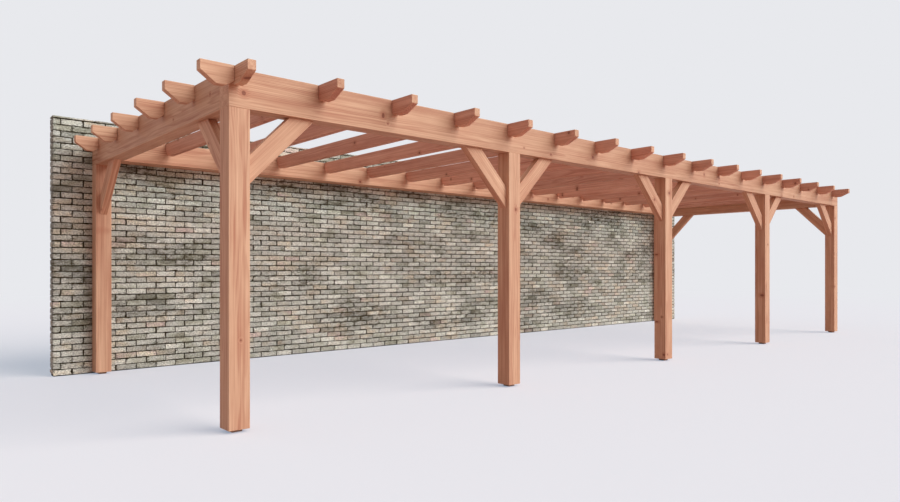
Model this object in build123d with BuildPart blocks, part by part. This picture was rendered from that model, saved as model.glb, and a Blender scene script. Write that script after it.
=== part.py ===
from build123d import *
import os

os.makedirs("parts", exist_ok=True)

# Frame: post grid, with the bays counted from left to right along +X and the wall behind along +Y
post_side = 150
bay_spacing = 2680
bay_count = 4
cover_depth = 3490

# Heights, from the ground up
foot_side = 75
foot_height = 20
post_height = 2160
beam_depth = 260
plate_depth = 231
plate_thickness = 220

# Rafters, chamfered below at both ends, with tails in front that end flush with the beam's top
rafter_width = 60
rafter_rise = 26
rafter_count = 17
first_tail_inset = 15
last_rafter_gap = 53
housing_clearance = 1
rafter_end_height = 66
back_chamfer_run = 60
shoulder_height = 10
front_tail_height = 125
front_tail_reach = 255
front_chamfer_run = 130

# Height of a tail where it meets its beam, and the length of the relief that leads up to it underneath
seat_height = 105
relief_run = 45

# Short tails of the same width on the gables
side_tail_height = 140
side_tail_reach = 215
side_chamfer_run = 105
side_tail_count = 6
last_side_tail_gap = 60

# Knee braces, set at 45 degrees in the middle of the post's side, the right gable's longer at the wall
brace_leg = 515
long_brace_leg = 700
brace_depth = 140
brace_thickness = 70

# Brick wall that the frame leans on, longer than the frame and higher than the rafters
wall_left_overhang = 363
wall_right_overhang = 680
wall_thickness = 140
wall_rise = 199

# How far a cut runs past the faces that it opens
cut_overrun = 10

# Sizes that follow
post_count = bay_count + 1
frame_length = bay_count * bay_spacing + post_side
wall_length = wall_left_overhang + frame_length + wall_right_overhang
housing_width = rafter_width + 2 * housing_clearance

# Faces of the frame, with the origin on the ground under the middle of the whole
left = wall_left_overhang - wall_length / 2
right = left + frame_length
front = (front_tail_reach - cover_depth - wall_thickness) / 2
wall_face = front + cover_depth
beam_back = front + post_side
wall_post_front = wall_face - post_side
plate_front = wall_face - plate_thickness
beam_low = foot_height + post_height
top = beam_low + beam_depth
seat = top - seat_height
tail_low = top - front_tail_height
rafter_low = seat - shoulder_height
rafter_top = top + rafter_rise
plate_seat = rafter_top - rafter_end_height
wall_height = rafter_top + wall_rise

# Middles of the pieces that repeat
post_middles = [left + post_side / 2 + bay_spacing * i for i in range(post_count)]
post_line = front + post_side / 2
wall_post_line = wall_face - post_side / 2
plate_line = wall_face - plate_thickness / 2
end_middles = {"left": post_middles[0], "right": post_middles[-1]}
rafter_start = left + first_tail_inset + rafter_width / 2
rafter_end = right - post_side - last_rafter_gap - rafter_width / 2
rafter_pitch = (rafter_end - rafter_start) / (rafter_count - 1)
rafter_middles = [rafter_start + rafter_pitch * i for i in range(rafter_count)]
side_tail_start = front - rafter_width / 2
side_tail_end = wall_post_front - last_side_tail_gap - rafter_width / 2
side_tail_pitch = (side_tail_end - side_tail_start) / (side_tail_count - 1)
side_tail_middles = [side_tail_start + side_tail_pitch * i for i in range(side_tail_count)]


def save(part, name):
    """Label a finished piece and write it under its name."""
    part.label = name
    export_step(part, f"parts/{name}.step")


def front_tail():
    """Corners of a tail on the front, from the top of its square end round to its seat on the beam."""
    tip = front - front_tail_reach
    return [
        (tip, top),
        (tip, top - rafter_end_height),
        (tip + front_chamfer_run, tail_low),
        (front - relief_run, tail_low),
        (front, seat),
    ]


def side_tail(face, root, way):
    """Corners of a tail on a gable's outer face, like those on the front but deeper."""
    tip = face - way * side_tail_reach
    low = top - side_tail_height
    return [
        (tip, top),
        (tip, top - rafter_end_height),
        (tip + way * side_chamfer_run, low),
        (face - way * relief_run, low),
        (root, seat),
        (root, top),
    ]


def brace_outline(face, way, leg):
    """Corners of a knee brace seen from its side, between a post's face and the beam's underside."""
    inner_leg = leg - brace_depth * 2 ** 0.5
    return [
        (face, beam_low - leg),
        (face, beam_low - inner_leg),
        (face + way * inner_leg, beam_low),
        (face + way * leg, beam_low),
    ]


# Feet: one small square standoff under each post
with BuildPart() as post_feet:
    with BuildSketch(Plane.XY):
        with Locations(*[(x, post_line) for x in post_middles]):
            Rectangle(foot_side, foot_side)
        with Locations(*[(x, wall_post_line) for x in end_middles.values()]):
            Rectangle(foot_side, foot_side)
    extrude(amount=foot_height)
save(post_feet.part, "post_feet")

# Posts: a row under the front beam and one against the wall at each end
for number, middle in enumerate(post_middles, start=1):
    with BuildPart() as front_post:
        with BuildSketch(Plane.XY.offset(foot_height)):
            with Locations((middle, post_line)):
                Rectangle(post_side, post_side)
        extrude(amount=post_height)
    save(front_post.part, f"front_post_{number}")

for side, middle in end_middles.items():
    with BuildPart() as wall_post:
        with BuildSketch(Plane.XY.offset(foot_height)):
            with Locations((middle, wall_post_line)):
                Rectangle(post_side, post_side)
        extrude(amount=post_height)
    save(wall_post.part, f"wall_post_{side}")

# Front beam: over the posts, with a housing for each rafter and for the corner tail
with BuildPart() as front_beam:
    with BuildSketch(Plane.XY.offset(beam_low)):
        with Locations(((left + right) / 2, post_line)):
            Rectangle(frame_length, post_side)
    extrude(amount=beam_depth)
    with BuildSketch(Plane.XY.offset(seat)):
        with Locations(*[(x, post_line) for x in rafter_middles]):
            Rectangle(housing_width, post_side + 2 * cut_overrun)
    extrude(amount=seat_height + cut_overrun, mode=Mode.SUBTRACT)
save(front_beam.part, "front_beam")

# Gable beams: from the back of the front beam over the wall posts to the wall
for side, middle in end_middles.items():
    with BuildPart() as gable_beam:
        with BuildSketch(Plane.XY.offset(beam_low)):
            with Locations((middle, (beam_back + wall_face) / 2)):
                Rectangle(post_side, wall_face - beam_back)
        extrude(amount=beam_depth)
    save(gable_beam.part, f"gable_beam_{side}")

# Wall plate: on the wall between the gable beams, housed for the rafters' back ends
with BuildPart() as wall_plate:
    with BuildSketch(Plane.XY.offset(rafter_top - plate_depth)):
        with Locations(((left + right) / 2, plate_line)):
            Rectangle(frame_length - 2 * post_side, plate_thickness)
    extrude(amount=plate_depth)
    with BuildSketch(Plane.XY.offset(plate_seat)):
        with Locations(*[(x, plate_line) for x in rafter_middles[1:]]):
            Rectangle(housing_width, plate_thickness + 2 * cut_overrun)
    extrude(amount=rafter_end_height + cut_overrun, mode=Mode.SUBTRACT)
save(wall_plate.part, "wall_plate")

# Corner tail: over the end of the left gable beam, only as long as the front beam is wide
with BuildPart() as corner_tail:
    with BuildSketch(Plane.YZ.offset(rafter_middles[0])):
        with BuildLine():
            Polyline(*front_tail(), (beam_back, seat), (beam_back, top), close=True)
        make_face()
    extrude(amount=rafter_width / 2, both=True)
save(corner_tail.part, "corner_tail")

# Rafters: from a tail in front of the front beam back to the wall, with shoulders behind the beam
rafter_back = [
    (beam_back, seat),
    (beam_back, rafter_low),
    (plate_front - back_chamfer_run, rafter_low),
    (plate_front, plate_seat),
    (wall_face, plate_seat),
    (wall_face, rafter_top),
    (beam_back, rafter_top),
    (beam_back, top),
]
rafter_outline = front_tail() + rafter_back
for number, middle in enumerate(rafter_middles[1:], start=2):
    with BuildPart() as rafter:
        with BuildSketch(Plane.YZ.offset(middle)):
            with BuildLine():
                Polyline(*rafter_outline, close=True)
            make_face()
        extrude(amount=rafter_width / 2, both=True)
    save(rafter.part, f"rafter_{number:02d}")

# Side tails: a row on each gable, where the left row's first one butts against the corner tail
left_roots = [left + first_tail_inset] + [left] * (side_tail_count - 1)
left_row = list(zip(side_tail_middles, left_roots))
right_row = [(middle, right) for middle in side_tail_middles[1:]]
for side, face, way, row in (("left", left, 1, left_row), ("right", right, -1, right_row)):
    with BuildPart() as side_tails:
        for middle, root in row:
            with BuildSketch(Plane.XZ.offset(-middle)):
                with BuildLine():
                    Polyline(*side_tail(face, root, way), close=True)
                make_face()
            extrude(amount=rafter_width / 2, both=True)
    save(side_tails.part, f"side_tails_{side}")

# Knee braces in the front: on both sides of each post, towards its neighbours only
for number, middle in enumerate(post_middles, start=1):
    for side, way in (("left", -1), ("right", 1)):
        if (number, side) in ((1, "left"), (post_count, "right")):
            continue
        with BuildPart() as front_brace:
            with BuildSketch(Plane.XZ.offset(-post_line)):
                with BuildLine():
                    Polyline(*brace_outline(middle + way * post_side / 2, way, brace_leg), close=True)
                make_face()
            extrude(amount=brace_thickness / 2, both=True)
        save(front_brace.part, f"brace_post_{number}_{side}")

# Knee braces in the gables: from the corner post backwards and from the wall post forwards
for side, middle in end_middles.items():
    for place, face, way in (("front", beam_back, 1), ("wall", wall_post_front, -1)):
        leg = long_brace_leg if (side, place) == ("right", "wall") else brace_leg
        with BuildPart() as gable_brace:
            with BuildSketch(Plane.YZ.offset(middle)):
                with BuildLine():
                    Polyline(*brace_outline(face, way, leg), close=True)
                make_face()
            extrude(amount=brace_thickness / 2, both=True)
        save(gable_brace.part, f"brace_gable_{side}_{place}")

# Wall: one leaf of brick
with BuildPart() as brick_wall:
    with BuildSketch(Plane.XY):
        with Locations((0, wall_face + wall_thickness / 2)):
            Rectangle(wall_length, wall_thickness)
    extrude(amount=wall_height)
save(brick_wall.part, "brick_wall")
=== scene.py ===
import math
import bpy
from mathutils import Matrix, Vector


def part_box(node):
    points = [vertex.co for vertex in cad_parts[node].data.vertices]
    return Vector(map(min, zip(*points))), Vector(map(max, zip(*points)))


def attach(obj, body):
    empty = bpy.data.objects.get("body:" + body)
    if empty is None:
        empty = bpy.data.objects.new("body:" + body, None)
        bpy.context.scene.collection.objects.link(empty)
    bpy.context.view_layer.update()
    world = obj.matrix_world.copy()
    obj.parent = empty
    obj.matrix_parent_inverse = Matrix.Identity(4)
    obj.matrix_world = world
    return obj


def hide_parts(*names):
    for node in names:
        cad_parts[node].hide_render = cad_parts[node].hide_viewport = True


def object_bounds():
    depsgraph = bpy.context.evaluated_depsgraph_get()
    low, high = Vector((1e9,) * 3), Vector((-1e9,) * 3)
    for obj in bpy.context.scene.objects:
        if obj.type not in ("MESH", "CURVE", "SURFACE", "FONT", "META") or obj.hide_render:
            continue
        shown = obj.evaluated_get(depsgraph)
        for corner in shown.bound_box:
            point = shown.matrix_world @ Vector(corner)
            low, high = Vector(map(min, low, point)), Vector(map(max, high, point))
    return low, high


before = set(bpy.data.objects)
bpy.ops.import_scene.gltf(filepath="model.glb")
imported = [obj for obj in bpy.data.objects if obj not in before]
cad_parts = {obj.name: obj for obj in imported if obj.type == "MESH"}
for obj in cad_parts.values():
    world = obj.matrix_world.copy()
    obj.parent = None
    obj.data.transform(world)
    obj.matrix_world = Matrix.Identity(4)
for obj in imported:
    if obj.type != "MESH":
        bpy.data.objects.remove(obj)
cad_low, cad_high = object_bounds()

import zlib

import bmesh
import bpy
import numpy as np
from mathutils import Vector

bl_info = {
    "name": "Lean-to veranda",
    "version": (1, 0, 0),
    "blender": (4, 5, 0),
    "location": "3D View > Sidebar > Veranda",
    "description": "Dresses the veranda's CAD solids as sawn timber and weathered brickwork",
    "category": "Object",
}

# The body that every piece rides on, and the ways that timbers run
BODY = "root"
LENGTHWISE = Vector((1, 0, 0))
TO_WALL = Vector((0, 1, 0))
UPRIGHT = Vector((0, 0, 1))

# Ranges of a timber's tone, where about 0.5 is plain and less is darker, and the redder tint that paints
# shade on the rafters. The feet's and the gable beams' dark tones are painted shade.
PLAIN_TONES = (0.0, 1.0)
# Painted shade: the feet under the posts are made dark as if in shade
FOOT_SHADE_TONES = (-6.5, -5.5)
# Painted shade: the gable beams are made darker as if shaded by the side tails
GABLE_SHADE_TONES = (-1.2, -0.8)
DULL_TONES = (-0.5, -0.2)
PALE_TONES = (0.3, 0.5)
RAFTER_TONES = (-0.6, 2.2)
# Painted shade: the rafters' long faces, mostly seen in shade, are tinted redder
SHADE_RED_TINT = (1.03, 0.87, 0.92)

# How a CAD mesh is cleaned, the least turn of an arris in radians, and how squarely a sawn end is cut
MERGE_DISTANCE = 1e-5
FLAT_ANGLE = math.radians(1)
ARRIS_ANGLE = 0.3
END_SQUARENESS = 0.9

# The logs: how far the pith lies from a timber's middle, and the length that the cuts are taken from
PITH_DISTANCES = (0.05, 0.16)
LOG_LENGTH = 60

# The wall's box, its courses, and the bands of courses that make one piece each
WALL_LOW, WALL_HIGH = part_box("brick_wall")
FULL_COURSES = 42
TOP_COURSE_SHARE = 0.4
BRICK_BANDS = (("lower", 0, 14), ("middle", 14, 28), ("upper", 28, FULL_COURSES + 1))

# The bond: the first brick of even and odd courses as a share of the pitch, and the shortest cut brick
FIRST_BRICK_SHARES = (0.84, 0.34)
SHORTEST_BRICK = 0.03

# Divisions of a brick's face and of the mortar's, and how far their points stray in depth
BRICK_GRID = (6, 2)
MORTAR_GRID = (190, 42)
BRICK_SETBACK = 0.0012
BRICK_ROUGHNESS = 0.0009
MORTAR_ROUGHNESS = 0.0012
COURSE_WAVE_LENGTH = 1.6
BRICK_SEED = 417
MORTAR_SEED = 91

# Painted light: a lighter, cooler band on the wall's front under the rafters, which offsets the warm light
# the timber throws there. Heights over which it begins and ends, its margin at the gables, and its tint
LIGHT_BAND_BEGINS = (1.55, 2.05)
LIGHT_BAND_ENDS = (2.45, 2.25)
LIGHT_BAND_MARGIN = 0.15
LIGHT_BAND_TINT = (1.04, 1.17, 1.19)

# The studio: its floor, and where its light comes from, how soft it is in degrees and its colour
FLOOR_REACH = 400.0
FLOOR_DROP = 0.001
FLOOR_FADE = (9.0, 26.0)
SKY_COLOUR = (250, 252, 255)
KEY_FROM, KEY_SOFTNESS, KEY_COLOUR = (0.55, -0.8, 0.54), 60.0, (0.965, 0.995, 0.98)
FILL_FROM, FILL_SOFTNESS, FILL_COLOUR = (-0.6, 0.75, 0.6), 120.0, (1.0, 0.87, 0.84)

# The camera, with its lens and sensor in millimetres
CAMERA_PLACE = (-7.4289, -6.0019, 1.1029)
CAMERA_TURN = (math.radians(90), 0.0, math.radians(-41.27))
SENSOR_WIDTH = 36.0
LENS_LENGTH = 26.88
LENS_RISE = 0.0194
VIEW_DEPTH = 1000.0


def screen_colour(red, green, blue):
    """A colour given as it looks on screen, from 0 to 255, in Blender's linear values."""
    shares = [value / 255 for value in (red, green, blue)]
    linear = [s / 12.92 if s <= 0.04045 else ((s + 0.055) / 1.055) ** 2.4 for s in shares]
    return (*linear, 1.0)


def colour_setting(name, description, red, green, blue):
    """A colour that a user may change."""
    return bpy.props.FloatVectorProperty(
        name=name,
        description=description,
        default=screen_colour(red, green, blue),
        size=4,
        min=0.0,
        max=1.0,
        subtype="COLOR",
    )


def length_setting(name, description, default, most):
    """A length in metres that a user may change."""
    return bpy.props.FloatProperty(
        name=name,
        description=description,
        default=default,
        min=0.0,
        max=most,
        precision=4,
        subtype="DISTANCE",
        unit="LENGTH",
    )


def share_setting(name, description, default, most=1.0):
    """A plain number that a user may change."""
    return bpy.props.FloatProperty(name=name, description=description, default=default, min=0.0, max=most)


class VerandaTimberSettings(bpy.types.PropertyGroup):
    """Sizes and colours of the sawn frame."""

    eased_edge: length_setting("Eased edge", "Width of the eased arris along each timber", 0.004, 0.012)
    ring_spacing: length_setting("Ring spacing", "Distance between two growth rings", 0.009, 0.05)
    ring_depth: share_setting("Ring contrast", "How far the late wood darkens each growth ring", 0.42)
    knot_share: share_setting("Knots", "Share of the places for a knot that have one", 0.32)
    grain_relief: share_setting("Grain relief", "Strength of the grain's relief on the surface", 0.22)
    pale_wood: colour_setting("Pale wood", "Early wood and yellowish streaks", 228, 185, 153)
    dark_wood: colour_setting("Dark wood", "Late wood and reddish streaks", 178, 113, 87)
    knot_wood: colour_setting("Knot wood", "Middle of a knot", 116, 58, 43)


class VerandaWallSettings(bpy.types.PropertyGroup):
    """Sizes and colours of the brickwork."""

    course_height: length_setting(
        "Course height",
        "One brick with its bed joint",
        (WALL_HIGH.z - WALL_LOW.z) / (FULL_COURSES + TOP_COURSE_SHARE),
        0.2,
    )
    brick_pitch: length_setting("Brick pitch", "One brick with its upright joint", 0.209, 0.5)
    joint_width: length_setting("Joint width", "Width of the mortar joints", 0.0075, 0.03)
    joint_recess: length_setting("Joint recess", "How far the mortar stands back", 0.01, 0.03)
    brick_edge: length_setting("Brick edge", "Width of the rounded edge round a face", 0.0025, 0.01)
    brick_wear: length_setting("Brick wear", "How far an edge wanders from a straight line", 0.0017, 0.005)
    chip_depth: length_setting("Chip depth", "Largest piece broken from a brick's edge", 0.008, 0.02)
    chip_share: share_setting("Chipped edges", "Share of the edge points that are broken", 0.1)
    brick_spread: length_setting("Brick spread", "How far a brick's ends and beds stray", 0.002, 0.01)
    course_wave: length_setting("Course wave", "How far a course strays from level", 0.0026, 0.01)
    slate_brick: colour_setting("Slate brick", "Dark greenish bricks", 166, 165, 147)
    grey_brick: colour_setting("Grey brick", "Cool grey bricks", 203, 205, 190)
    pale_brick: colour_setting("Pale brick", "Light grey bricks", 219, 221, 212)
    cream_brick: colour_setting("Cream brick", "Pale cream bricks", 219, 217, 205)
    beige_brick: colour_setting("Beige brick", "Sandy bricks", 213, 204, 183)
    rosy_brick: colour_setting("Rosy brick", "Pinkish bricks", 217, 199, 190)
    stain: colour_setting("Stain", "Damp and moss stains", 76, 68, 43)
    mortar: colour_setting("Mortar", "Mortar in the joints", 50, 43, 29)


class VerandaStageSettings(bpy.types.PropertyGroup):
    """Light and background of the studio."""

    backdrop: colour_setting("Backdrop", "Colour behind the veranda", 232, 233, 237)
    floor_lit: colour_setting("Floor in light", "What the key light adds to the floor", 217, 201, 193)
    floor_even: colour_setting("Floor in shade", "The floor's colour without any light", 125, 147, 166)
    floor_bounce: colour_setting("Floor bounce", "Colour that the floor throws back", 203, 163, 152)
    key_light: share_setting("Key light", "Strength of the soft light from the front and right", 3.15, 10.0)
    fill_light: share_setting("Fill light", "Strength of the broad light from behind and left", 0.6, 10.0)
    sky_light: share_setting("Sky light", "Strength of the even light from all round", 0.3, 5.0)


def timber_settings():
    return bpy.context.scene.veranda_timber


def wall_settings():
    return bpy.context.scene.veranda_wall


def stage_settings():
    return bpy.context.scene.veranda_stage


def add_node(tree, kind, inputs=None, **settings):
    """Adds a node, sets it up, and fills each named input with a value or a link."""
    node = tree.nodes.new(kind)
    node.location = (len(tree.nodes) * 190, 0)
    for name, value in settings.items():
        setattr(node, name, value)
    for name, value in (inputs or {}).items():
        if isinstance(value, bpy.types.NodeSocket):
            tree.links.new(value, node.inputs[name])
        else:
            node.inputs[name].default_value = value
    return node


def calculate(tree, operation, first, second=0.0, limit=False):
    """One step of arithmetic on numbers or sockets."""
    node = add_node(tree, "ShaderNodeMath", {0: first, 1: second}, operation=operation, use_clamp=limit)
    return node.outputs[0]


def multiply_add(tree, value, factor, addend):
    """A value times a factor, plus an addend."""
    node = add_node(tree, "ShaderNodeMath", {0: value, 1: factor, 2: addend}, operation="MULTIPLY_ADD")
    return node.outputs[0]


def calculate_vector(tree, operation, first, second):
    """One step of arithmetic on vectors."""
    node = add_node(tree, "ShaderNodeVectorMath", {0: first, 1: second}, operation=operation)
    return node.outputs["Vector"]


def vector_length(tree, vector):
    """How long a vector is."""
    return add_node(tree, "ShaderNodeVectorMath", {0: vector}, operation="LENGTH").outputs["Value"]


def scale_colour(tree, colour, factor):
    """A colour made lighter or darker by a factor."""
    node = add_node(tree, "ShaderNodeVectorMath", {0: colour, "Scale": factor}, operation="SCALE")
    return node.outputs["Vector"]


def soft_step(tree, value, start, end):
    """Rises smoothly from 0 at start to 1 at end."""
    node = add_node(
        tree,
        "ShaderNodeMapRange",
        {"Value": value, "From Min": start, "From Max": end, "To Min": 0.0, "To Max": 1.0},
        interpolation_type="SMOOTHSTEP",
    )
    return node.outputs["Result"]


def mix_colours(tree, share, first, second, blend="MIX"):
    """Blends two colours."""
    node = add_node(
        tree,
        "ShaderNodeMix",
        {0: share, 6: first, 7: second},
        data_type="RGBA",
        blend_type=blend,
        clamp_factor=True,
    )
    return node.outputs[2]


def noise(tree, place, scale=1.0, detail=2.0, roughness=0.5):
    """Smooth noise from about 0 to 1."""
    node = add_node(
        tree,
        "ShaderNodeTexNoise",
        {"Vector": place, "Scale": scale, "Detail": detail, "Roughness": roughness},
        noise_dimensions="3D",
    )
    return node


def start_group(name, inputs, outputs):
    """A new shader node group with its named sockets."""
    tree = bpy.data.node_groups.new(name, "ShaderNodeTree")
    for label, kind, value in inputs:
        socket = tree.interface.new_socket(name=label, in_out="INPUT", socket_type=kind)
        if value is not None:
            socket.default_value = value
    for label, kind in outputs:
        tree.interface.new_socket(name=label, in_out="OUTPUT", socket_type=kind)
    entry = tree.nodes.new("NodeGroupInput")
    return tree, entry.outputs


def end_group(tree, results):
    """Links a group's results to its outputs."""
    leaving = add_node(tree, "NodeGroupOutput")
    for name, socket in results.items():
        tree.links.new(socket, leaving.inputs[name])
    return tree


def split(tree, vector):
    """The three numbers of a vector."""
    return add_node(tree, "ShaderNodeSeparateXYZ", {"Vector": vector}).outputs


def join(tree, x, y, z=0.0):
    """A vector from three numbers."""
    return add_node(tree, "ShaderNodeCombineXYZ", {"X": x, "Y": y, "Z": z}).outputs["Vector"]


def stretched_noise(tree, place, along, across, detail=2.0, roughness=0.5):
    """Noise drawn out along the grain, with so many features per metre along and across it."""
    scaled = calculate_vector(tree, "MULTIPLY", place, (along, across, across))
    return noise(tree, scaled, 1.0, detail, roughness).outputs["Fac"]


def knot_masks(tree, place, radius, share):
    """Branches that run out from the pith: how much of a knot is here, how near it is, and its rings."""
    along_cells, round_cells = 2.6, 0.7
    least_radius, radius_spread = 0.006, 0.009
    axis = split(tree, place)
    turn = calculate(tree, "ARCTAN2", axis["Z"], axis["Y"])
    column = calculate(tree, "MULTIPLY", axis["X"], along_cells)
    row = calculate(tree, "MULTIPLY", turn, round_cells)
    spot = join(tree, column, row)
    cells = add_node(
        tree,
        "ShaderNodeTexVoronoi",
        {"Vector": spot, "Scale": 1.0, "Randomness": 0.85},
        voronoi_dimensions="2D",
    )
    offset = split(tree, calculate_vector(tree, "SUBTRACT", spot, cells.outputs["Position"]))
    along = calculate(tree, "MULTIPLY", offset["X"], 0.8 / along_cells)
    around = calculate(tree, "MULTIPLY", calculate(tree, "MULTIPLY", offset["Y"], 1 / round_cells), radius)
    away = vector_length(tree, join(tree, along, around))
    lot = add_node(tree, "ShaderNodeSeparateColor", {"Color": cells.outputs["Color"]})
    present = calculate(tree, "LESS_THAN", lot.outputs["Red"], share)
    size = multiply_add(tree, lot.outputs["Green"], radius_spread, least_radius)
    nearness = calculate(tree, "DIVIDE", away, size)
    knot = calculate(tree, "MULTIPLY", present, soft_step(tree, nearness, 1.05, 0.8))
    swirl = calculate(tree, "MULTIPLY", present, soft_step(tree, nearness, 3.6, 0.6))
    rings = calculate(tree, "FRACT", calculate(tree, "MULTIPLY", nearness, 4.0))
    return knot, swirl, rings


def timber_grain_group():
    """Growth rings round a pith, fibres, streaks and knots, and a redder tint that paints shade. Place is
    in metres, X along the grain.
    """
    name = "Timber grain"
    if name in bpy.data.node_groups:
        return bpy.data.node_groups[name]
    tree, entry = start_group(
        name,
        (
            ("Place", "NodeSocketVector", None),
            ("Tone", "NodeSocketFloat", 0.5),
            ("Shade redness", "NodeSocketFloat", 0.0),
            ("Ring spacing", "NodeSocketFloat", 0.009),
            ("Ring contrast", "NodeSocketFloat", 0.35),
            ("Knots", "NodeSocketFloat", 0.4),
            ("Pale wood", "NodeSocketColor", None),
            ("Dark wood", "NodeSocketColor", None),
            ("Knot wood", "NodeSocketColor", None),
        ),
        (("Color", "NodeSocketColor"), ("Roughness", "NodeSocketFloat"), ("Height", "NodeSocketFloat")),
    )
    place = entry["Place"]
    wander = noise(tree, calculate_vector(tree, "MULTIPLY", place, (0.8, 5.0, 5.0)), 1.0, 2.0)
    drift = calculate_vector(tree, "SUBTRACT", wander.outputs["Color"], (0.5, 0.5, 0.5))
    sway = calculate_vector(tree, "MULTIPLY", drift, (0.0, 0.06, 0.06))
    moved = calculate_vector(tree, "ADD", place, sway)
    flat = calculate_vector(tree, "MULTIPLY", moved, (0.0, 1.0, 1.0))
    radius = vector_length(tree, flat)
    knot, swirl, knot_rings = knot_masks(tree, moved, radius, entry["Knots"])

    bent = multiply_add(tree, swirl, 0.012, radius)
    uneven = stretched_noise(tree, flat, 0.0, 26.0, 1.0)
    count = calculate(tree, "ADD", calculate(tree, "DIVIDE", bent, entry["Ring spacing"]), uneven)
    profile = add_node(tree, "ShaderNodeValToRGB", {"Fac": calculate(tree, "FRACT", count)})
    steps = profile.color_ramp.elements
    steps[0].position, steps[0].color = 0.0, (0.05, 0.05, 0.05, 1.0)
    steps[1].position, steps[1].color = 1.0, (0.05, 0.05, 0.05, 1.0)
    for position, level in ((0.4, 0.15), (0.8, 1.0), (0.92, 0.85)):
        steps.new(position).color = (level, level, level, 1.0)
    ring = profile.outputs["Color"]

    strength = soft_step(tree, stretched_noise(tree, place, 0.5, 12.0, 1.0), 0.2, 0.65)
    streak = soft_step(tree, stretched_noise(tree, place, 1.1, 75.0, 3.0, 0.65), 0.28, 0.72)
    broad = soft_step(tree, stretched_noise(tree, place, 0.45, 17.0, 2.0), 0.3, 0.7)
    cloud = soft_step(tree, stretched_noise(tree, place, 2.4, 11.0, 3.0), 0.3, 0.7)
    fibre = stretched_noise(tree, place, 9.0, 480.0)
    share = calculate(tree, "MULTIPLY", calculate(tree, "MULTIPLY", ring, strength), entry["Ring contrast"])
    for mark, weight in ((streak, 0.42), (broad, 0.22), (cloud, 0.2), (fibre, 0.2)):
        share = multiply_add(tree, mark, weight, share)
    share = calculate(tree, "SUBTRACT", share, 0.22, limit=True)
    wood = mix_colours(tree, share, entry["Pale wood"], entry["Dark wood"])

    tint = multiply_add(tree, entry["Tone"], 0.09, 0.95)
    toned = scale_colour(tree, wood, tint)
    # Painted shade: a redder tint where shade falls on the rafters
    shade_reddened = calculate_vector(tree, "MULTIPLY", toned, SHADE_RED_TINT)
    toned = mix_colours(tree, entry["Shade redness"], toned, shade_reddened)
    halo = mix_colours(tree, calculate(tree, "MULTIPLY", swirl, 0.6), toned, entry["Dark wood"])
    core = calculate(tree, "MULTIPLY", knot, multiply_add(tree, knot_rings, 0.3, 0.55))
    colour = mix_colours(tree, core, halo, entry["Knot wood"])

    roughness = multiply_add(tree, fibre, 0.18, 0.56)
    relief = multiply_add(tree, ring, -0.5, fibre)
    relief = multiply_add(tree, knot, -0.5, relief)
    return end_group(tree, {"Color": colour, "Roughness": roughness, "Height": relief})


def wall_weather_group():
    """Hue, damp, stains, pale bloom, speckles, pits and grit over the wall, with the damp growing towards
    the top as painted shade. Place is in metres.
    """
    name = "Wall weather"
    if name in bpy.data.node_groups:
        return bpy.data.node_groups[name]
    tree, entry = start_group(
        name,
        (("Place", "NodeSocketVector", None),),
        (
            ("Hue", "NodeSocketFloat"),
            ("Damp", "NodeSocketFloat"),
            ("Stain", "NodeSocketFloat"),
            ("Bloom", "NodeSocketFloat"),
            ("Speckle", "NodeSocketFloat"),
            ("Pits", "NodeSocketFloat"),
            ("Grit", "NodeSocketFloat"),
        ),
    )
    place = entry["Place"]

    def layer(shift, stretch, detail, low, high):
        """Noise read away from the other layers, with so many features per metre, as a soft mask."""
        moved = calculate_vector(tree, "ADD", place, (shift, shift, shift))
        scaled = calculate_vector(tree, "MULTIPLY", moved, stretch)
        return soft_step(tree, noise(tree, scaled, 1.0, detail, 0.62).outputs["Fac"], low, high)

    hue = layer(23.0, (2.6, 2.6, 5.5), 3.0, 0.28, 0.72)
    # Painted shade: damp grows towards the top, so the wall darkens under the roof as if in its shade
    painted_top_shade = soft_step(tree, split(tree, place)["Z"], 0.3, 2.6)
    damp = multiply_add(tree, painted_top_shade, 0.2, layer(41.0, (0.9, 0.9, 3.0), 3.0, 0.45, 0.68))
    blots = layer(3.0, (17.0, 17.0, 42.0), 4.0, 0.42, 0.62)
    spots = layer(7.0, (24.0, 24.0, 34.0), 3.0, 0.6, 0.72)
    blotted = calculate(tree, "MULTIPLY", damp, blots)
    stain = calculate(tree, "MAXIMUM", blotted, calculate(tree, "MULTIPLY", spots, 0.55))
    bloom = layer(11.0, (3.5, 3.5, 8.0), 3.0, 0.48, 0.7)
    speckle = layer(13.0, (62.0, 62.0, 100.0), 4.0, 0.3, 0.7)
    pits = layer(17.0, (85.0, 85.0, 120.0), 2.0, 0.58, 0.72)
    grit = layer(19.0, (420.0, 420.0, 420.0), 2.0, 0.2, 0.8)
    results = {
        "Hue": hue,
        "Damp": damp,
        "Stain": stain,
        "Bloom": bloom,
        "Speckle": speckle,
        "Pits": pits,
        "Grit": grit,
    }
    return end_group(tree, results)


def start_material(name):
    """A new material with its Principled shader."""
    material = bpy.data.materials.new(name)
    material.use_nodes = True
    tree = material.node_tree
    return material, tree, tree.nodes["Principled BSDF"]


def add_relief(tree, shader, height, strength, distance):
    """Turns a height into the shader's normal."""
    bump = add_node(tree, "ShaderNodeBump", {"Strength": strength, "Distance": distance, "Height": height})
    tree.links.new(bump.outputs["Normal"], shader.inputs["Normal"])


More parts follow.
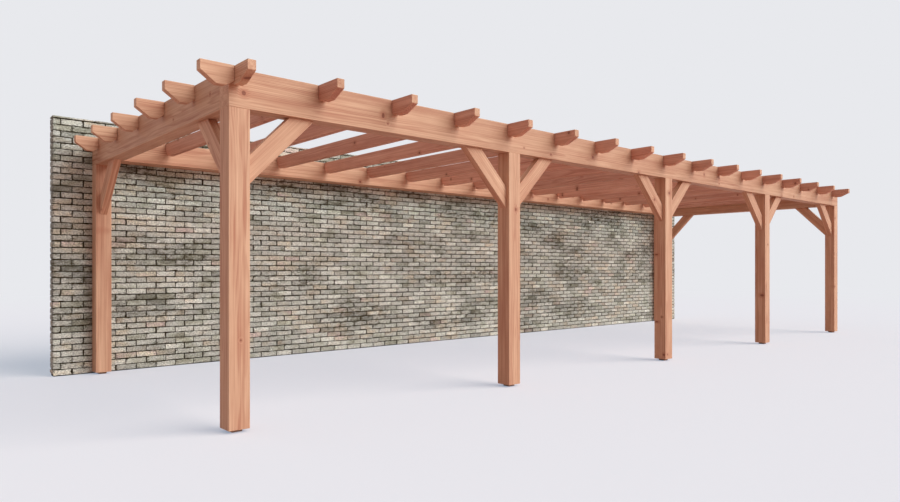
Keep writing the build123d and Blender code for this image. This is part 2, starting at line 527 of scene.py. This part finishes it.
def timber_material():
    """Planed softwood with the grain along each timber."""
    name = "sawn_timber"
    if name in bpy.data.materials:
        return bpy.data.materials[name]
    settings = timber_settings()
    material, tree, shader = start_material(name)
    place = add_node(tree, "ShaderNodeAttribute", attribute_name="grain")
    tone = add_node(tree, "ShaderNodeAttribute", attribute_name="tone")
    worn = add_node(tree, "ShaderNodeAttribute", attribute_name="worn")
    shade_reddening = add_node(tree, "ShaderNodeAttribute", attribute_name="shade_reddening")
    grain = add_node(
        tree,
        "ShaderNodeGroup",
        {
            "Place": place.outputs["Vector"],
            "Tone": tone.outputs["Fac"],
            "Shade redness": shade_reddening.outputs["Fac"],
            "Ring spacing": settings.ring_spacing,
            "Ring contrast": settings.ring_depth,
            "Knots": settings.knot_share,
            "Pale wood": settings.pale_wood,
            "Dark wood": settings.dark_wood,
            "Knot wood": settings.knot_wood,
        },
        node_tree=timber_grain_group(),
    )
    edge = calculate(tree, "MULTIPLY", worn.outputs["Fac"], 0.35)
    colour = mix_colours(tree, edge, grain.outputs["Color"], tuple(settings.pale_wood))
    tree.links.new(colour, shader.inputs["Base Color"])
    tree.links.new(grain.outputs["Roughness"], shader.inputs["Roughness"])
    shader.inputs["Specular IOR Level"].default_value = 0.3
    add_relief(tree, shader, grain.outputs["Height"], settings.grain_relief, 0.002)
    return material


def painted_light_band(tree, place):
    """1 on the wall's front under the rafters and 0 elsewhere, with soft limits: the band of painted light.
    """
    left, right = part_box("gable_beam_left")[0].x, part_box("gable_beam_right")[1].x
    spot = split(tree, place)
    mask = soft_step(tree, spot["Z"], *LIGHT_BAND_BEGINS)
    for axis, outside, inside in (
        ("Z", *LIGHT_BAND_ENDS),
        ("X", left - LIGHT_BAND_MARGIN, left + LIGHT_BAND_MARGIN),
        ("X", right + LIGHT_BAND_MARGIN, right - LIGHT_BAND_MARGIN),
        ("Y", WALL_HIGH.y, WALL_LOW.y),
    ):
        mask = calculate(tree, "MULTIPLY", mask, soft_step(tree, spot[axis], outside, inside))
    return mask


def brick_material():
    """Old pale bricks: each with its own tone, speckled, stained by damp and dark at the edges, with
    painted shade on the wall's ends and towards its top, and a painted lighter, cooler band under the
    rafters.
    """
    name = "old_brick"
    if name in bpy.data.materials:
        return bpy.data.materials[name]
    settings = wall_settings()
    material, tree, shader = start_material(name)
    place = add_node(tree, "ShaderNodeTexCoord")
    lot = add_node(tree, "ShaderNodeAttribute", attribute_name="lot")
    edge_dark_and_end_shade = add_node(tree, "ShaderNodeAttribute", attribute_name="edge_dark_and_end_shade")
    weather = add_node(
        tree, "ShaderNodeGroup", {"Place": place.outputs["Object"]}, node_tree=wall_weather_group()
    )
    draws = split(tree, lot.outputs["Vector"])
    hue = calculate(tree, "SUBTRACT", multiply_add(tree, weather.outputs["Hue"], 0.7, draws["X"]), 0.35)
    palette = add_node(tree, "ShaderNodeValToRGB", {"Fac": hue})
    stops = palette.color_ramp.elements
    stops[0].position, stops[0].color = 0.0, tuple(settings.slate_brick)
    stops[1].position, stops[1].color = 1.0, tuple(settings.rosy_brick)
    for position, colour in (
        (0.2, settings.grey_brick),
        (0.4, settings.pale_brick),
        (0.6, settings.cream_brick),
        (0.8, settings.beige_brick),
    ):
        stops.new(position).color = tuple(colour)
    level = multiply_add(tree, draws["Y"], 0.58, 0.56)
    # Damp darkens the bricks; its growth towards the top is painted shade under the roof
    level = multiply_add(tree, weather.outputs["Damp"], -0.2, level)
    level = calculate(tree, "MULTIPLY", level, multiply_add(tree, weather.outputs["Speckle"], 0.86, 0.59))
    body = scale_colour(tree, palette.outputs["Color"], level)
    # Painted light: the bricks under the rafters are lightened and cooled to offset the timber's warm
    # bounce
    lightened_cooler = calculate_vector(tree, "MULTIPLY", body, LIGHT_BAND_TINT)
    light_band = painted_light_band(tree, place.outputs["Object"])
    body = mix_colours(tree, light_band, body, lightened_cooler)
    bloom = calculate(tree, "MULTIPLY", weather.outputs["Bloom"], 0.36)
    pale = mix_colours(tree, bloom, body, tuple(settings.pale_brick))
    ragged = multiply_add(tree, weather.outputs["Speckle"], -0.5, edge_dark_and_end_shade.outputs["Fac"])
    ragged = multiply_add(tree, weather.outputs["Stain"], 0.28, ragged)
    # Darker at the bricks' edges, and painted shade on the wall's end faces
    edge = calculate(tree, "MULTIPLY", soft_step(tree, ragged, 0.46, 0.96), 0.85)
    edged = mix_colours(tree, edge, pale, tuple(settings.mortar))
    pits = calculate(tree, "MULTIPLY", weather.outputs["Pits"], 0.62)
    pitted = mix_colours(tree, pits, edged, tuple(settings.mortar))
    damp = calculate(tree, "MULTIPLY", weather.outputs["Stain"], multiply_add(tree, draws["Z"], 0.4, 0.3))
    stained = mix_colours(tree, damp, pitted, tuple(settings.stain))
    tree.links.new(stained, shader.inputs["Base Color"])
    tree.links.new(multiply_add(tree, weather.outputs["Grit"], 0.2, 0.75), shader.inputs["Roughness"])
    shader.inputs["Specular IOR Level"].default_value = 0.25
    height = multiply_add(tree, weather.outputs["Grit"], 0.15, weather.outputs["Speckle"])
    height = multiply_add(tree, weather.outputs["Pits"], -0.8, height)
    add_relief(tree, shader, height, 0.5, 0.003)
    return material


def mortar_material():
    """Dark weathered mortar."""
    name = "old_mortar"
    if name in bpy.data.materials:
        return bpy.data.materials[name]
    settings = wall_settings()
    material, tree, shader = start_material(name)
    place = add_node(tree, "ShaderNodeTexCoord")
    weather = add_node(
        tree, "ShaderNodeGroup", {"Place": place.outputs["Object"]}, node_tree=wall_weather_group()
    )
    level = multiply_add(tree, weather.outputs["Speckle"], 0.8, 0.5)
    level = multiply_add(tree, weather.outputs["Bloom"], 0.7, level)
    body = scale_colour(tree, tuple(settings.mortar)[:3], level)
    damp = calculate(tree, "MULTIPLY", weather.outputs["Stain"], 0.7)
    stained = mix_colours(tree, damp, body, tuple(settings.stain))
    tree.links.new(stained, shader.inputs["Base Color"])
    tree.links.new(multiply_add(tree, weather.outputs["Grit"], 0.15, 0.82), shader.inputs["Roughness"])
    shader.inputs["Specular IOR Level"].default_value = 0.2
    add_relief(tree, shader, weather.outputs["Grit"], 0.7, 0.003)
    return material


def add_piece(name, mesh, material, slot, *nodes):
    """Puts a finished mesh in the scene as a piece that rides on the frame in place of its nodes."""
    mesh.materials.append(material)
    piece = bpy.data.objects.new(name, mesh)
    bpy.context.scene.collection.objects.link(piece)
    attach(piece, BODY)
    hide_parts(*nodes)
    return piece


def loose_parts(shape):
    """The separate solids of a mesh, each as a list of its vertices."""
    waiting = set(shape.verts)
    parts = []
    while waiting:
        first = min(waiting, key=lambda corner: corner.index)
        part, edge_of_part = {first}, [first]
        while edge_of_part:
            corner = edge_of_part.pop()
            for edge in corner.link_edges:
                other = edge.other_vert(corner)
                if other not in part:
                    part.add(other)
                    edge_of_part.append(other)
        waiting -= part
        parts.append(sorted(part, key=lambda corner: corner.index))
    return parts


def lay_grain(shape, along, seed, tones_from):
    """For every vertex, its place in its log, in metres with X along the grain, and its timber's tone."""
    draw = np.random.default_rng(seed)
    across = along.cross(TO_WALL)
    if across.length < 0.1:
        across = along.cross(LENGTHWISE)
    across.normalize()
    third = along.cross(across)
    places = np.zeros((len(shape.verts), 3))
    tones = np.zeros(len(shape.verts))
    for part in loose_parts(shape):
        points = np.array([corner.co for corner in part])
        rows = [corner.index for corner in part]
        points = points - (points.min(0) + points.max(0)) / 2
        reach, turn = draw.uniform(*PITH_DISTANCES), draw.uniform(0, math.tau)
        places[rows, 0] = points @ np.array(along) + draw.uniform(0, LOG_LENGTH)
        places[rows, 1] = points @ np.array(across) + reach * math.cos(turn)
        places[rows, 2] = points @ np.array(third) + reach * math.sin(turn)
        tones[rows] = draw.uniform(*tones_from)
    return places, tones


def dress_timber(node_name, along, tones_from=PLAIN_TONES, shade_redness=0.0):
    """Makes a timber in the place of a CAD node, with eased edges, the grain along it, its own tone and,
    where asked, the redder tint of painted shade.
    """
    settings = timber_settings()
    along = along.normalized()
    shape = bmesh.new()
    shape.from_mesh(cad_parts[node_name].data)
    bmesh.ops.remove_doubles(shape, verts=shape.verts[:], dist=MERGE_DISTANCE)
    bmesh.ops.dissolve_limit(shape, angle_limit=FLAT_ANGLE, verts=shape.verts[:], edges=shape.edges[:])
    bmesh.ops.recalc_face_normals(shape, faces=shape.faces[:])
    arrises = [edge for edge in shape.edges if edge.is_convex and edge.calc_face_angle(0) > ARRIS_ANGLE]
    worn = shape.faces.layers.float.new("worn")
    shade_reddening = shape.faces.layers.float.new("shade_reddening")
    eased = bmesh.ops.bevel(
        shape,
        geom=arrises,
        offset=settings.eased_edge,
        offset_type="OFFSET",
        segments=2,
        profile=0.5,
        affect="EDGES",
        clamp_overlap=True,
    )
    for face in eased["faces"]:
        face[worn] = 1.0
    shape.normal_update()
    for face in shape.faces:
        face.smooth = True
        # Painted shade: every face but the sawn ends takes the redder tint of shade
        sawn_end = abs(face.normal.dot(along)) > END_SQUARENESS
        face[shade_reddening] = 0.0 if sawn_end else shade_redness
    shape.verts.index_update()
    places, tones = lay_grain(shape, along, zlib.crc32(node_name.encode()), tones_from)
    mesh = bpy.data.meshes.new(node_name + "_timber")
    shape.to_mesh(mesh)
    shape.free()
    grain = mesh.attributes.new("grain", "FLOAT_VECTOR", "POINT")
    grain.data.foreach_set("vector", places.astype(np.float32).ravel())
    tone = mesh.attributes.new("tone", "FLOAT", "POINT")
    tone.data.foreach_set("value", tones.astype(np.float32))
    piece = add_piece(node_name + "_timber", mesh, timber_material(), "timber", node_name)
    piece.modifiers.new("flat_faces", "WEIGHTED_NORMAL").weight = 100
    return piece


def nodes_named(*starts):
    """The CAD nodes whose names begin so, in order."""
    found = [name for name in sorted(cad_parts) if name.startswith(starts)]
    if not found:
        raise RuntimeError(f"the packed veranda has no node that begins with {starts}")
    return found


def drifting(draw, x, z, length, waves=7):
    """A smooth field over the wall that drifts from about -1 to 1 within so many metres."""
    total = np.zeros_like(x)
    for _ in range(waves):
        turn, phase = draw.uniform(0, math.tau, 2)
        pace = math.tau / (length * draw.uniform(0.6, 1.7))
        total += np.cos(pace * (x * math.cos(turn) + 2 * z * math.sin(turn)) + phase)
    return total / math.sqrt(waves)


def brick_rows(settings):
    """The middle, half size and course of every brick, in stretcher bond with cut bricks at the ends."""
    middles, halves, courses = [], [], []
    depth = (WALL_HIGH.y - WALL_LOW.y) / 2
    half_joint = settings.joint_width / 2
    for course in range(FULL_COURSES + 1):
        low = WALL_LOW.z + course * settings.course_height + settings.joint_width
        high = min(WALL_LOW.z + (course + 1) * settings.course_height, WALL_HIGH.z)
        first = WALL_LOW.x + FIRST_BRICK_SHARES[course % 2] * settings.brick_pitch
        joints = np.arange(first, WALL_HIGH.x - SHORTEST_BRICK, settings.brick_pitch)
        starts = np.concatenate(([WALL_LOW.x], joints + half_joint))
        ends = np.concatenate((joints - half_joint, [WALL_HIGH.x]))
        for start, end in zip(starts, ends):
            middles.append(((start + end) / 2, WALL_LOW.y + depth, (low + high) / 2))
            halves.append(((end - start) / 2, depth, (high - low) / 2))
            courses.append(course)
    return np.array(middles), np.array(halves), np.array(courses)


def brick_lattice(columns, rows):
    """A brick's points and faces: a face grid, an edge ring, the same behind, and the quads between."""
    grid = [(column, row) for row in range(rows + 1) for column in range(columns + 1)]
    ring = [(column, 0) for column in range(columns)]
    ring += [(columns, row) for row in range(rows)]
    ring += [(column, rows) for column in range(columns, 0, -1)]
    ring += [(0, row) for row in range(rows, 0, -1)]
    index = {place: number for number, place in enumerate(grid)}
    share = np.array([(2 * column / columns - 1, 2 * row / rows - 1) for column, row in grid])
    ring_share = np.array([(2 * column / columns - 1, 2 * row / rows - 1) for column, row in ring])
    size, around = len(grid), len(ring)
    front_ring, back_ring, back = size, size + around, size + 2 * around
    quads = []
    for row in range(rows):
        for column in range(columns):
            a, b = index[column, row], index[column + 1, row]
            c, d = index[column + 1, row + 1], index[column, row + 1]
            quads.append((a, b, c, d))
            quads.append((back + d, back + c, back + b, back + a))
    for number in range(around):
        after = (number + 1) % around
        near, near_after = index[ring[number]], index[ring[after]]
        quads.append((near_after, near, front_ring + number, front_ring + after))
        quads.append((front_ring + after, front_ring + number, back_ring + number, back_ring + after))
        quads.append((back_ring + after, back_ring + number, back + near, back + near_after))
    shares = np.concatenate((share, ring_share, ring_share, share))
    sides = np.concatenate((np.full(size, -1), np.full(around, -1), np.full(around, 1), np.full(size, 1)))
    on_face = np.concatenate((np.ones(size), np.zeros(2 * around), np.ones(size))).astype(bool)
    return shares, sides, on_face, np.array(quads)


def brick_points(settings, draw, middles, halves, courses, lattice):
    """Every brick's points, each brick a little worn, astray, set back and chipped in its own way."""
    shares, sides, on_face, _ = lattice
    number, corners = len(middles), len(shares)
    edge = np.minimum(settings.brick_edge, halves.min(1) / 3)[:, None]
    inset = np.where(on_face, 1.0, 0.0)[None, :] * edge
    wear = np.abs(draw.normal(0, settings.brick_wear, (number, corners)))
    at_end = np.abs(shares[:, 0]) > 0.99
    at_bed = np.abs(shares[:, 1]) > 0.99
    chips = draw.uniform(0.2, 1.0, (number, corners)) * settings.chip_depth
    chips *= (draw.uniform(0, 1, (number, corners)) < settings.chip_share) & (at_end | at_bed)[None, :]
    short = np.minimum(inset + wear + chips, halves.min(1)[:, None] / 2)
    across = shares[None, :, 0] * (halves[:, :1] - np.where(at_end[None, :], short, 0))
    upward = shares[None, :, 1] * (halves[:, 2:] - np.where(at_bed[None, :], short, 0))
    inside = (middles[:, 0] - halves[:, 0] > WALL_LOW.x) & (middles[:, 0] + halves[:, 0] < WALL_HIGH.x)
    stray = np.where(inside[:, None], draw.normal(0, settings.brick_spread, (number, 2)), 0.0)
    across = across + np.where(shares[None, :, 0] < 0, stray[:, :1], stray[:, 1:])
    inner = (courses > 0) & (courses < FULL_COURSES)
    lift = settings.course_wave * drifting(draw, middles[:, 0], middles[:, 2], COURSE_WAVE_LENGTH)
    lift += draw.normal(0, settings.brick_spread / 2, number)
    upward = upward + np.where(inner, lift, 0.0)[:, None]
    back_off = np.abs(draw.normal(0, BRICK_SETBACK, (number, 2)))
    back_off = np.where(sides[None, :] < 0, back_off[:, :1], back_off[:, 1:])
    rough = np.abs(draw.normal(0, BRICK_ROUGHNESS, (number, corners))) + chips * 0.5
    depth = halves[:, 1:2] - back_off - np.where(on_face[None, :], rough, edge + chips * 0.5)
    return np.stack((across, sides[None, :] * depth, upward), 2) + middles[:, None, :]


def brick_lots(draw, middles):
    """Every brick's own warmth, lightness and share of stain. The first two drift over the wall."""
    number = len(middles)
    warmth = 0.47 + 0.06 * drifting(draw, middles[:, 0], middles[:, 2], 1.4) + draw.normal(0, 0.13, number)
    light = 0.5 + 0.14 * drifting(draw, middles[:, 0], middles[:, 2], 0.9) + draw.normal(0, 0.2, number)
    return np.stack((warmth.clip(0, 1), light.clip(0, 1), draw.uniform(0, 1, number)), 1)


def brick_edge_dark_and_end_shade(settings, points, shares, on_face):
    """How near every point is to its brick's edge, where the brick is drawn darker, and painted shade on
    the wall's end faces.
    """
    outer = np.maximum(np.abs(shares[:, 0]) ** 3, np.abs(shares[:, 1]))
    edge_dark_and_end_shade_levels = np.tile(np.where(on_face, 0.8 * outer, 0.7), (len(points), 1))
    reach = np.abs(points[:, :, 0] - (WALL_LOW.x + WALL_HIGH.x) / 2)
    # Painted shade: the wall's end faces are darkened to mortar colour as if in shade
    edge_dark_and_end_shade_levels[reach > (WALL_HIGH.x - WALL_LOW.x) / 2 - settings.joint_recess] = 0.92
    return edge_dark_and_end_shade_levels


def lay_bricks():
    """Lays every brick, in three bands of courses."""
    settings = wall_settings()
    draw = np.random.default_rng(BRICK_SEED)
    middles, halves, courses = brick_rows(settings)
    lattice = brick_lattice(*BRICK_GRID)
    shares, _, on_face, quads = lattice
    corners = len(shares)
    points = brick_points(settings, draw, middles, halves, courses, lattice)
    lots = np.repeat(brick_lots(draw, middles)[:, None, :], corners, 1)
    edge_dark_and_end_shade_levels = brick_edge_dark_and_end_shade(settings, points, shares, on_face)
    for label, first, last in BRICK_BANDS:
        chosen = (courses >= first) & (courses < last)
        starts = corners * np.arange(int(chosen.sum()))
        faces = (quads[None, :, :] + starts[:, None, None]).reshape(-1, 4)
        mesh = bpy.data.meshes.new("bricks_" + label)
        mesh.from_pydata(points[chosen].reshape(-1, 3).tolist(), [], faces.tolist())
        lot = mesh.attributes.new("lot", "FLOAT_VECTOR", "POINT")
        lot.data.foreach_set("vector", lots[chosen].astype(np.float32).ravel())
        edge_dark_and_end_shade = mesh.attributes.new("edge_dark_and_end_shade", "FLOAT", "POINT")
        edge_dark_and_end_shade.data.foreach_set("value", edge_dark_and_end_shade_levels[chosen].astype(np.float32).ravel())
        add_piece("bricks_" + label, mesh, brick_material(), "brick", "brick_wall")


def fill_joints():
    """The mortar behind the brick faces, one closed block whose faces are uneven where it was struck."""
    settings = wall_settings()
    draw = np.random.default_rng(MORTAR_SEED)
    recess = settings.joint_recess
    low = np.array(WALL_LOW) + (recess, recess, 0)
    high = np.array(WALL_HIGH) - (recess, recess, recess)
    columns, rows = MORTAR_GRID
    across = np.linspace(low[0], high[0], columns + 1)
    upward = np.linspace(low[2], high[2], rows + 1)
    grid_x, grid_z = np.meshgrid(across, upward)
    front = low[1] + draw.normal(0, MORTAR_ROUGHNESS, grid_x.shape)
    back = high[1] + draw.normal(0, MORTAR_ROUGHNESS, grid_x.shape)
    points = np.concatenate((
        np.stack((grid_x, front, grid_z), 2).reshape(-1, 3),
        np.stack((grid_x, back, grid_z), 2).reshape(-1, 3),
    ))
    wide = columns + 1
    behind = wide * (rows + 1)
    faces = []
    for row in range(rows):
        for column in range(columns):
            a = row * wide + column
            faces.append((a, a + 1, a + 1 + wide, a + wide))
            faces.append((behind + a + wide, behind + a + 1 + wide, behind + a + 1, behind + a))
    ring = list(range(columns))
    ring += [columns + row * wide for row in range(rows)]
    ring += [rows * wide + column for column in range(columns, 0, -1)]
    ring += [row * wide for row in range(rows, 0, -1)]
    for place, corner in enumerate(ring):
        after = ring[(place + 1) % len(ring)]
        faces.append((after, corner, behind + corner, behind + after))
    mesh = bpy.data.meshes.new("mortar")
    mesh.from_pydata(points.tolist(), [], faces)
    add_piece("mortar", mesh, mortar_material(), "brick", "brick_wall")


def seen_by_camera(tree):
    """1 for what the camera sees, straight or by gloss or through glass, and 0 for light on the object."""
    path = add_node(tree, "ShaderNodeLightPath")
    seen = calculate(tree, "MAXIMUM", path.outputs["Is Camera Ray"], path.outputs["Is Glossy Ray"])
    return calculate(tree, "MAXIMUM", seen, path.outputs["Is Transmission Ray"])


def set_world(settings):
    """Even light from all round, and the backdrop's own colour where the camera sees it."""
    world = bpy.data.worlds.new("studio")
    world.use_nodes = True
    tree = world.node_tree
    tree.nodes.clear()
    light = add_node(
        tree,
        "ShaderNodeBackground",
        {"Color": screen_colour(*SKY_COLOUR), "Strength": settings.sky_light},
    )
    shown = add_node(tree, "ShaderNodeBackground", {"Color": tuple(settings.backdrop), "Strength": 1.0})
    mixed = add_node(
        tree,
        "ShaderNodeMixShader",
        {0: seen_by_camera(tree), 1: light.outputs[0], 2: shown.outputs[0]},
    )
    add_node(tree, "ShaderNodeOutputWorld", {"Surface": mixed.outputs[0]})
    bpy.context.scene.world = world


def floor_material(settings):
    """A pale floor: the camera sees it shaded near the veranda and like the backdrop far away."""
    material = bpy.data.materials.new("studio_floor")
    material.use_nodes = True
    tree = material.node_tree
    tree.nodes.clear()
    bounce = add_node(tree, "ShaderNodeBsdfDiffuse", {"Color": tuple(settings.floor_bounce)})
    lit = add_node(tree, "ShaderNodeBsdfDiffuse", {"Color": tuple(settings.floor_lit)})
    even = add_node(tree, "ShaderNodeEmission", {"Color": tuple(settings.floor_even), "Strength": 1.0})
    near = add_node(tree, "ShaderNodeAddShader", {0: lit.outputs[0], 1: even.outputs[0]})
    far = add_node(tree, "ShaderNodeEmission", {"Color": tuple(settings.backdrop), "Strength": 1.0})
    place = add_node(tree, "ShaderNodeTexCoord").outputs["Object"]
    fade = soft_step(tree, vector_length(tree, place), *FLOOR_FADE)
    shown = add_node(tree, "ShaderNodeMixShader", {0: fade, 1: near.outputs[0], 2: far.outputs[0]})
    mixed = add_node(
        tree,
        "ShaderNodeMixShader",
        {0: seen_by_camera(tree), 1: bounce.outputs[0], 2: shown.outputs[0]},
    )
    add_node(tree, "ShaderNodeOutputMaterial", {"Surface": mixed.outputs[0]})
    return material


def add_sun(name, strength, angle, colour, comes_from):
    """A soft lamp so far away that it lights the whole floor evenly."""
    lamp = bpy.data.lights.new(name, "SUN")
    lamp.energy = strength
    lamp.angle = math.radians(angle)
    lamp.color = colour
    holder = bpy.data.objects.new(name, lamp)
    holder.rotation_euler = Vector(comes_from).to_track_quat("Z", "Y").to_euler()
    bpy.context.scene.collection.objects.link(holder)


def set_stage():
    """The floor, the light and the camera."""
    settings = stage_settings()
    set_world(settings)
    mesh = bpy.data.meshes.new("studio_floor")
    corners = [(x * FLOOR_REACH, y * FLOOR_REACH, 0) for x, y in ((-1, -1), (1, -1), (1, 1), (-1, 1))]
    mesh.from_pydata(corners, [], [(0, 1, 2, 3)])
    mesh.materials.append(floor_material(settings))
    floor = bpy.data.objects.new("studio_floor", mesh)
    floor.location.z = cad_low.z - FLOOR_DROP
    bpy.context.scene.collection.objects.link(floor)
    add_sun("key_light", settings.key_light, KEY_SOFTNESS, KEY_COLOUR, KEY_FROM)
    add_sun("fill_light", settings.fill_light, FILL_SOFTNESS, FILL_COLOUR, FILL_FROM)
    lens = bpy.data.cameras.new("photo_view")
    lens.sensor_fit = "HORIZONTAL"
    lens.sensor_width = SENSOR_WIDTH
    lens.lens = LENS_LENGTH
    lens.shift_y = LENS_RISE
    lens.clip_end = VIEW_DEPTH
    camera = bpy.data.objects.new("photo_view", lens)
    camera.location = CAMERA_PLACE
    camera.rotation_euler = CAMERA_TURN
    bpy.context.scene.collection.objects.link(camera)
    bpy.context.scene.camera = camera
    bpy.context.scene.view_settings.view_transform = "Standard"


class VERANDA_OT_posts(bpy.types.Operator):
    """Make the front posts and the wall posts"""

    bl_idname = "veranda.posts"
    bl_label = "Posts"

    def execute(self, context):
        for name in nodes_named("front_post_", "wall_post_"):
            dress_timber(name, UPRIGHT)
        return {"FINISHED"}


class VERANDA_OT_feet(bpy.types.Operator):
    """Make the small feet under the posts"""

    bl_idname = "veranda.feet"
    bl_label = "Feet"

    def execute(self, context):
        # The feet's dark tone is painted shade under the posts
        dress_timber("post_feet", UPRIGHT, FOOT_SHADE_TONES)
        return {"FINISHED"}


class VERANDA_OT_beams(bpy.types.Operator):
    """Make the front beam, the wall plate and the gable beams"""

    bl_idname = "veranda.beams"
    bl_label = "Beams"

    def execute(self, context):
        dress_timber("front_beam", LENGTHWISE, DULL_TONES)
        dress_timber("wall_plate", LENGTHWISE, PALE_TONES)
        for name in nodes_named("gable_beam_"):
            # The gable beams' dark tone is painted shade
            dress_timber(name, TO_WALL, GABLE_SHADE_TONES)
        return {"FINISHED"}


class VERANDA_OT_rafters(bpy.types.Operator):
    """Make the rafters and the corner tail"""

    bl_idname = "veranda.rafters"
    bl_label = "Rafters"

    def execute(self, context):
        dress_timber("corner_tail", TO_WALL)
        for name in nodes_named("rafter_"):
            # The rafters take the redder tint of painted shade
            dress_timber(name, TO_WALL, RAFTER_TONES, shade_redness=1.0)
        return {"FINISHED"}


class VERANDA_OT_side_tails(bpy.types.Operator):
    """Make the short tails on the gables"""

    bl_idname = "veranda.side_tails"
    bl_label = "Side tails"

    def execute(self, context):
        for name in nodes_named("side_tails_"):
            dress_timber(name, LENGTHWISE)
        return {"FINISHED"}


class VERANDA_OT_braces(bpy.types.Operator):
    """Make the knee braces"""

    bl_idname = "veranda.braces"
    bl_label = "Knee braces"

    def execute(self, context):
        leans = {"_left": -LENGTHWISE, "_right": LENGTHWISE, "_front": TO_WALL, "_wall": -TO_WALL}
        for name in nodes_named("brace_"):
            lean = next(way for end, way in leans.items() if name.endswith(end))
            dress_timber(name, lean + UPRIGHT)
        return {"FINISHED"}


class VERANDA_OT_bricks(bpy.types.Operator):
    """Lay the wall's bricks"""

    bl_idname = "veranda.bricks"
    bl_label = "Bricks"

    def execute(self, context):
        lay_bricks()
        return {"FINISHED"}


class VERANDA_OT_mortar(bpy.types.Operator):
    """Fill the wall's joints"""

    bl_idname = "veranda.mortar"
    bl_label = "Mortar"

    def execute(self, context):
        fill_joints()
        return {"FINISHED"}


class VERANDA_OT_stage(bpy.types.Operator):
    """Set the floor, the light and the camera"""

    bl_idname = "veranda.stage"
    bl_label = "Stage"

    def execute(self, context):
        set_stage()
        return {"FINISHED"}


class VERANDA_PT_panel(bpy.types.Panel):
    """The veranda's settings and the steps that build it"""

    bl_idname = "VERANDA_PT_panel"
    bl_label = "Lean-to veranda"
    bl_space_type = "VIEW_3D"
    bl_region_type = "UI"
    bl_category = "Veranda"

    def draw(self, context):
        scene = context.scene
        for group in (scene.veranda_timber, scene.veranda_wall, scene.veranda_stage):
            column = self.layout.column(align=True)
            for setting in group.bl_rna.properties:
                if setting.identifier not in ("rna_type", "name"):
                    column.prop(group, setting.identifier)
        column = self.layout.column(align=True)
        for operator in OPERATORS:
            column.operator(operator.bl_idname)


SETTINGS = (VerandaTimberSettings, VerandaWallSettings, VerandaStageSettings)
OPERATORS = (
    VERANDA_OT_posts,
    VERANDA_OT_feet,
    VERANDA_OT_beams,
    VERANDA_OT_rafters,
    VERANDA_OT_side_tails,
    VERANDA_OT_braces,
    VERANDA_OT_bricks,
    VERANDA_OT_mortar,
    VERANDA_OT_stage,
)


def register():
    for part in (*SETTINGS, *OPERATORS, VERANDA_PT_panel):
        bpy.utils.register_class(part)
    bpy.types.Scene.veranda_timber = bpy.props.PointerProperty(type=VerandaTimberSettings)
    bpy.types.Scene.veranda_wall = bpy.props.PointerProperty(type=VerandaWallSettings)
    bpy.types.Scene.veranda_stage = bpy.props.PointerProperty(type=VerandaStageSettings)


def unregister():
    del bpy.types.Scene.veranda_stage
    del bpy.types.Scene.veranda_wall
    del bpy.types.Scene.veranda_timber
    for part in reversed((*SETTINGS, *OPERATORS, VERANDA_PT_panel)):
        bpy.utils.unregister_class(part)


def main():
    register()
    bpy.ops.veranda.posts()
    bpy.ops.veranda.feet()
    bpy.ops.veranda.beams()
    bpy.ops.veranda.rafters()
    bpy.ops.veranda.side_tails()
    bpy.ops.veranda.braces()
    bpy.ops.veranda.bricks()
    bpy.ops.veranda.mortar()
    bpy.ops.veranda.stage()


if __name__ == "__main__":
    main()
